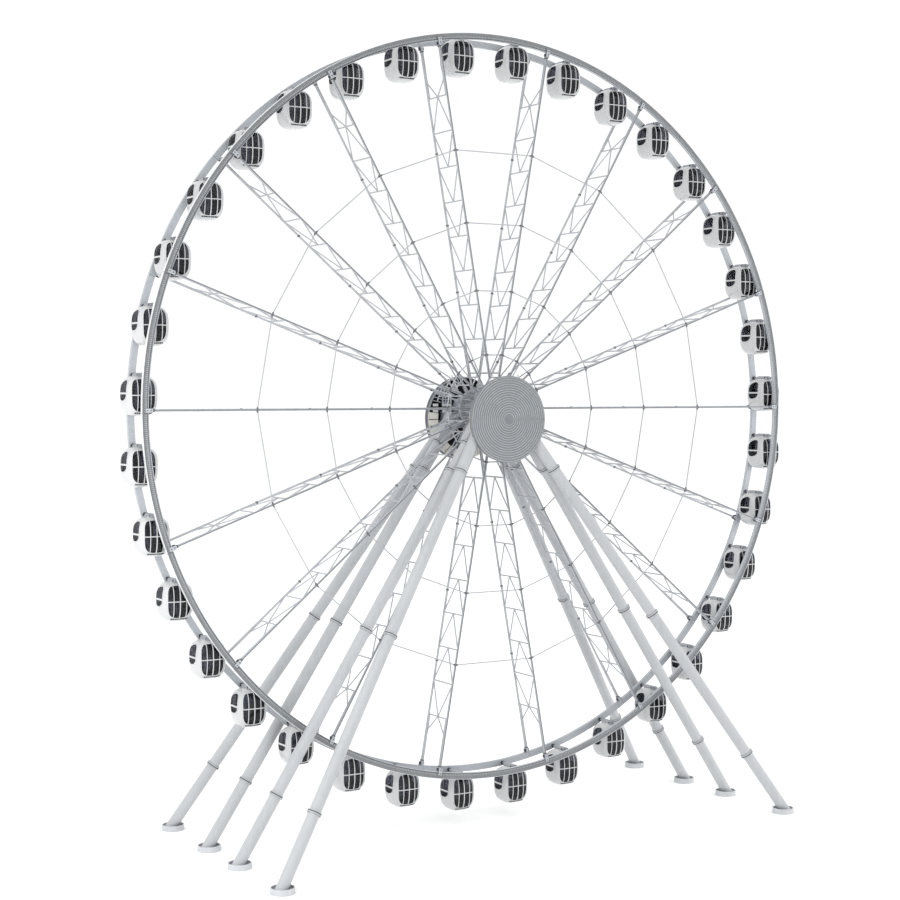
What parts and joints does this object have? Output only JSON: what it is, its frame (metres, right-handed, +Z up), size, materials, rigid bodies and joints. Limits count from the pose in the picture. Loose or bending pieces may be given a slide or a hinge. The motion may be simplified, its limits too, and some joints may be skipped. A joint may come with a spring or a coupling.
{
  "type": "ferris wheel, scale model at 1:2 of the real size",
  "caption": "Large fairground wheel at half size: two rims on lattice spokes, a hub on splayed legs, round hub discs and level closed cabins.",
  "frame": {"origin": "on the ground, under the middle of the axle", "axes": "+Z up, the wheel stands in the XZ plane, +Y along the axle towards the rear, the front faces -Y"},
  "size_m": [23.8524, 8.7186, 24.72],
  "materials": {
    "leg_paint": "satin pale blue-grey paint",
    "disc_grey": "mid-grey panel with rings of small lamps",
    "hub_paint": "satin blue-grey paint",
    "rim_paint": "satin blue-grey paint with strips of small lamps",
    "spoke_paint": "satin blue-grey paint",
    "cabin_white": "gloss white moulded shell with dark glass"
  },
  "bodies": {
    "support": {"support_frame": "leg_paint", "front_disc": "disc_grey", "rear_disc": "disc_grey"},
    "wheel": {"hub": "hub_paint", "front_rim": "rim_paint", "rear_rim": "rim_paint", "spoke_01": "spoke_paint", "spoke_02": "spoke_paint", "spoke_03": "spoke_paint", "spoke_04": "spoke_paint", "spoke_05": "spoke_paint", "spoke_06": "spoke_paint", "spoke_07": "spoke_paint", "spoke_08": "spoke_paint", "spoke_09": "spoke_paint", "spoke_10": "spoke_paint", "spoke_11": "spoke_paint", "spoke_12": "spoke_paint", "spoke_13": "spoke_paint", "spoke_14": "spoke_paint", "spoke_15": "spoke_paint", "spoke_16": "spoke_paint", "spoke_17": "spoke_paint", "spoke_18": "spoke_paint"},
    "cabin_01_body": {"cabin_01": "cabin_white"},
    "cabin_02_body": {"cabin_02": "cabin_white"},
    "cabin_03_body": {"cabin_03": "cabin_white"},
    "cabin_04_body": {"cabin_04": "cabin_white"},
    "cabin_05_body": {"cabin_05": "cabin_white"},
    "cabin_06_body": {"cabin_06": "cabin_white"},
    "cabin_07_body": {"cabin_07": "cabin_white"},
    "cabin_08_body": {"cabin_08": "cabin_white"},
    "cabin_09_body": {"cabin_09": "cabin_white"},
    "cabin_10_body": {"cabin_10": "cabin_white"},
    "cabin_11_body": {"cabin_11": "cabin_white"},
    "cabin_12_body": {"cabin_12": "cabin_white"},
    "cabin_13_body": {"cabin_13": "cabin_white"},
    "cabin_14_body": {"cabin_14": "cabin_white"},
    "cabin_15_body": {"cabin_15": "cabin_white"},
    "cabin_16_body": {"cabin_16": "cabin_white"},
    "cabin_17_body": {"cabin_17": "cabin_white"},
    "cabin_18_body": {"cabin_18": "cabin_white"},
    "cabin_19_body": {"cabin_19": "cabin_white"},
    "cabin_20_body": {"cabin_20": "cabin_white"},
    "cabin_21_body": {"cabin_21": "cabin_white"},
    "cabin_22_body": {"cabin_22": "cabin_white"},
    "cabin_23_body": {"cabin_23": "cabin_white"},
    "cabin_24_body": {"cabin_24": "cabin_white"},
    "cabin_25_body": {"cabin_25": "cabin_white"},
    "cabin_26_body": {"cabin_26": "cabin_white"},
    "cabin_27_body": {"cabin_27": "cabin_white"},
    "cabin_28_body": {"cabin_28": "cabin_white"},
    "cabin_29_body": {"cabin_29": "cabin_white"},
    "cabin_30_body": {"cabin_30": "cabin_white"},
    "cabin_31_body": {"cabin_31": "cabin_white"},
    "cabin_32_body": {"cabin_32": "cabin_white"},
    "cabin_33_body": {"cabin_33": "cabin_white"},
    "cabin_34_body": {"cabin_34": "cabin_white"},
    "cabin_35_body": {"cabin_35": "cabin_white"},
    "cabin_36_body": {"cabin_36": "cabin_white"}
  },
  "joints": [
    {"name": "wheel_spin", "type": "hinge", "parent": "support", "child": "wheel", "pos_m": [0, 0, 13.12], "axis": [0, -1, 0], "continuous": true},
    {"name": "cabin_01_level", "type": "hinge", "parent": "wheel", "child": "cabin_01_body", "pos_m": [11.45624, 0, 14.12229], "axis": [0, -1, 0], "continuous": true},
    {"name": "cabin_02_level", "type": "hinge", "parent": "wheel", "child": "cabin_02_body", "pos_m": [11.10815, 0, 16.09642], "axis": [0, -1, 0], "continuous": true},
    {"name": "cabin_03_level", "type": "hinge", "parent": "wheel", "child": "cabin_03_body", "pos_m": [10.42254, 0, 17.98011], "axis": [0, -1, 0], "continuous": true},
    {"name": "cabin_04_level", "type": "hinge", "parent": "wheel", "child": "cabin_04_body", "pos_m": [9.42025, 0, 19.71613], "axis": [0, -1, 0], "continuous": true},
    {"name": "cabin_05_level", "type": "hinge", "parent": "wheel", "child": "cabin_05_body", "pos_m": [8.13173, 0, 21.25173], "axis": [0, -1, 0], "continuous": true},
    {"name": "cabin_06_level", "type": "hinge", "parent": "wheel", "child": "cabin_06_body", "pos_m": [6.59613, 0, 22.54025], "axis": [0, -1, 0], "continuous": true},
    {"name": "cabin_07_level", "type": "hinge", "parent": "wheel", "child": "cabin_07_body", "pos_m": [4.86011, 0, 23.54254], "axis": [0, -1, 0], "continuous": true},
    {"name": "cabin_08_level", "type": "hinge", "parent": "wheel", "child": "cabin_08_body", "pos_m": [2.97642, 0, 24.22815], "axis": [0, -1, 0], "continuous": true},
    {"name": "cabin_09_level", "type": "hinge", "parent": "wheel", "child": "cabin_09_body", "pos_m": [1.00229, 0, 24.57624], "axis": [0, -1, 0], "continuous": true},
    {"name": "cabin_10_level", "type": "hinge", "parent": "wheel", "child": "cabin_10_body", "pos_m": [-1.00229, 0, 24.57624], "axis": [0, -1, 0], "continuous": true},
    {"name": "cabin_11_level", "type": "hinge", "parent": "wheel", "child": "cabin_11_body", "pos_m": [-2.97642, 0, 24.22815], "axis": [0, -1, 0], "continuous": true},
    {"name": "cabin_12_level", "type": "hinge", "parent": "wheel", "child": "cabin_12_body", "pos_m": [-4.86011, 0, 23.54254], "axis": [0, -1, 0], "continuous": true},
    {"name": "cabin_13_level", "type": "hinge", "parent": "wheel", "child": "cabin_13_body", "pos_m": [-6.59613, 0, 22.54025], "axis": [0, -1, 0], "continuous": true},
    {"name": "cabin_14_level", "type": "hinge", "parent": "wheel", "child": "cabin_14_body", "pos_m": [-8.13173, 0, 21.25173], "axis": [0, -1, 0], "continuous": true},
    {"name": "cabin_15_level", "type": "hinge", "parent": "wheel", "child": "cabin_15_body", "pos_m": [-9.42025, 0, 19.71613], "axis": [0, -1, 0], "continuous": true},
    {"name": "cabin_16_level", "type": "hinge", "parent": "wheel", "child": "cabin_16_body", "pos_m": [-10.42254, 0, 17.98011], "axis": [0, -1, 0], "continuous": true},
    {"name": "cabin_17_level", "type": "hinge", "parent": "wheel", "child": "cabin_17_body", "pos_m": [-11.10815, 0, 16.09642], "axis": [0, -1, 0], "continuous": true},
    {"name": "cabin_18_level", "type": "hinge", "parent": "wheel", "child": "cabin_18_body", "pos_m": [-11.45624, 0, 14.12229], "axis": [0, -1, 0], "continuous": true},
    {"name": "cabin_19_level", "type": "hinge", "parent": "wheel", "child": "cabin_19_body", "pos_m": [-11.45624, 0, 12.11771], "axis": [0, -1, 0], "continuous": true},
    {"name": "cabin_20_level", "type": "hinge", "parent": "wheel", "child": "cabin_20_body", "pos_m": [-11.10815, 0, 10.14358], "axis": [0, -1, 0], "continuous": true},
    {"name": "cabin_21_level", "type": "hinge", "parent": "wheel", "child": "cabin_21_body", "pos_m": [-10.42254, 0, 8.25989], "axis": [0, -1, 0], "continuous": true},
    {"name": "cabin_22_level", "type": "hinge", "parent": "wheel", "child": "cabin_22_body", "pos_m": [-9.42025, 0, 6.52387], "axis": [0, -1, 0], "continuous": true},
    {"name": "cabin_23_level", "type": "hinge", "parent": "wheel", "child": "cabin_23_body", "pos_m": [-8.13173, 0, 4.98827], "axis": [0, -1, 0], "continuous": true},
    {"name": "cabin_24_level", "type": "hinge", "parent": "wheel", "child": "cabin_24_body", "pos_m": [-6.59613, 0, 3.69975], "axis": [0, -1, 0], "continuous": true},
    {"name": "cabin_25_level", "type": "hinge", "parent": "wheel", "child": "cabin_25_body", "pos_m": [-4.86011, 0, 2.69746], "axis": [0, -1, 0], "continuous": true},
    {"name": "cabin_26_level", "type": "hinge", "parent": "wheel", "child": "cabin_26_body", "pos_m": [-2.97642, 0, 2.01185], "axis": [0, -1, 0], "continuous": true},
    {"name": "cabin_27_level", "type": "hinge", "parent": "wheel", "child": "cabin_27_body", "pos_m": [-1.00229, 0, 1.66376], "axis": [0, -1, 0], "continuous": true},
    {"name": "cabin_28_level", "type": "hinge", "parent": "wheel", "child": "cabin_28_body", "pos_m": [1.00229, 0, 1.66376], "axis": [0, -1, 0], "continuous": true},
    {"name": "cabin_29_level", "type": "hinge", "parent": "wheel", "child": "cabin_29_body", "pos_m": [2.97642, 0, 2.01185], "axis": [0, -1, 0], "continuous": true},
    {"name": "cabin_30_level", "type": "hinge", "parent": "wheel", "child": "cabin_30_body", "pos_m": [4.86011, 0, 2.69746], "axis": [0, -1, 0], "continuous": true},
    {"name": "cabin_31_level", "type": "hinge", "parent": "wheel", "child": "cabin_31_body", "pos_m": [6.59613, 0, 3.69975], "axis": [0, -1, 0], "continuous": true},
    {"name": "cabin_32_level", "type": "hinge", "parent": "wheel", "child": "cabin_32_body", "pos_m": [8.13173, 0, 4.98827], "axis": [0, -1, 0], "continuous": true},
    {"name": "cabin_33_level", "type": "hinge", "parent": "wheel", "child": "cabin_33_body", "pos_m": [9.42025, 0, 6.52387], "axis": [0, -1, 0], "continuous": true},
    {"name": "cabin_34_level", "type": "hinge", "parent": "wheel", "child": "cabin_34_body", "pos_m": [10.42254, 0, 8.25989], "axis": [0, -1, 0], "continuous": true},
    {"name": "cabin_35_level", "type": "hinge", "parent": "wheel", "child": "cabin_35_body", "pos_m": [11.10815, 0, 10.14358], "axis": [0, -1, 0], "continuous": true},
    {"name": "cabin_36_level", "type": "hinge", "parent": "wheel", "child": "cabin_36_body", "pos_m": [11.45624, 0, 12.11771], "axis": [0, -1, 0], "continuous": true}
  ],
  "couplings": [
    {"joint": "cabin_01_level", "follows": "wheel_spin", "ratio": -1},
    {"joint": "cabin_02_level", "follows": "wheel_spin", "ratio": -1},
    {"joint": "cabin_03_level", "follows": "wheel_spin", "ratio": -1},
    {"joint": "cabin_04_level", "follows": "wheel_spin", "ratio": -1},
    {"joint": "cabin_05_level", "follows": "wheel_spin", "ratio": -1},
    {"joint": "cabin_06_level", "follows": "wheel_spin", "ratio": -1},
    {"joint": "cabin_07_level", "follows": "wheel_spin", "ratio": -1},
    {"joint": "cabin_08_level", "follows": "wheel_spin", "ratio": -1},
    {"joint": "cabin_09_level", "follows": "wheel_spin", "ratio": -1},
    {"joint": "cabin_10_level", "follows": "wheel_spin", "ratio": -1},
    {"joint": "cabin_11_level", "follows": "wheel_spin", "ratio": -1},
    {"joint": "cabin_12_level", "follows": "wheel_spin", "ratio": -1},
    {"joint": "cabin_13_level", "follows": "wheel_spin", "ratio": -1},
    {"joint": "cabin_14_level", "follows": "wheel_spin", "ratio": -1},
    {"joint": "cabin_15_level", "follows": "wheel_spin", "ratio": -1},
    {"joint": "cabin_16_level", "follows": "wheel_spin", "ratio": -1},
    {"joint": "cabin_17_level", "follows": "wheel_spin", "ratio": -1},
    {"joint": "cabin_18_level", "follows": "wheel_spin", "ratio": -1},
    {"joint": "cabin_19_level", "follows": "wheel_spin", "ratio": -1},
    {"joint": "cabin_20_level", "follows": "wheel_spin", "ratio": -1},
    {"joint": "cabin_21_level", "follows": "wheel_spin", "ratio": -1},
    {"joint": "cabin_22_level", "follows": "wheel_spin", "ratio": -1},
    {"joint": "cabin_23_level", "follows": "wheel_spin", "ratio": -1},
    {"joint": "cabin_24_level", "follows": "wheel_spin", "ratio": -1},
    {"joint": "cabin_25_level", "follows": "wheel_spin", "ratio": -1},
    {"joint": "cabin_26_level", "follows": "wheel_spin", "ratio": -1},
    {"joint": "cabin_27_level", "follows": "wheel_spin", "ratio": -1},
    {"joint": "cabin_28_level", "follows": "wheel_spin", "ratio": -1},
    {"joint": "cabin_29_level", "follows": "wheel_spin", "ratio": -1},
    {"joint": "cabin_30_level", "follows": "wheel_spin", "ratio": -1},
    {"joint": "cabin_31_level", "follows": "wheel_spin", "ratio": -1},
    {"joint": "cabin_32_level", "follows": "wheel_spin", "ratio": -1},
    {"joint": "cabin_33_level", "follows": "wheel_spin", "ratio": -1},
    {"joint": "cabin_34_level", "follows": "wheel_spin", "ratio": -1},
    {"joint": "cabin_35_level", "follows": "wheel_spin", "ratio": -1},
    {"joint": "cabin_36_level", "follows": "wheel_spin", "ratio": -1}
  ]
}
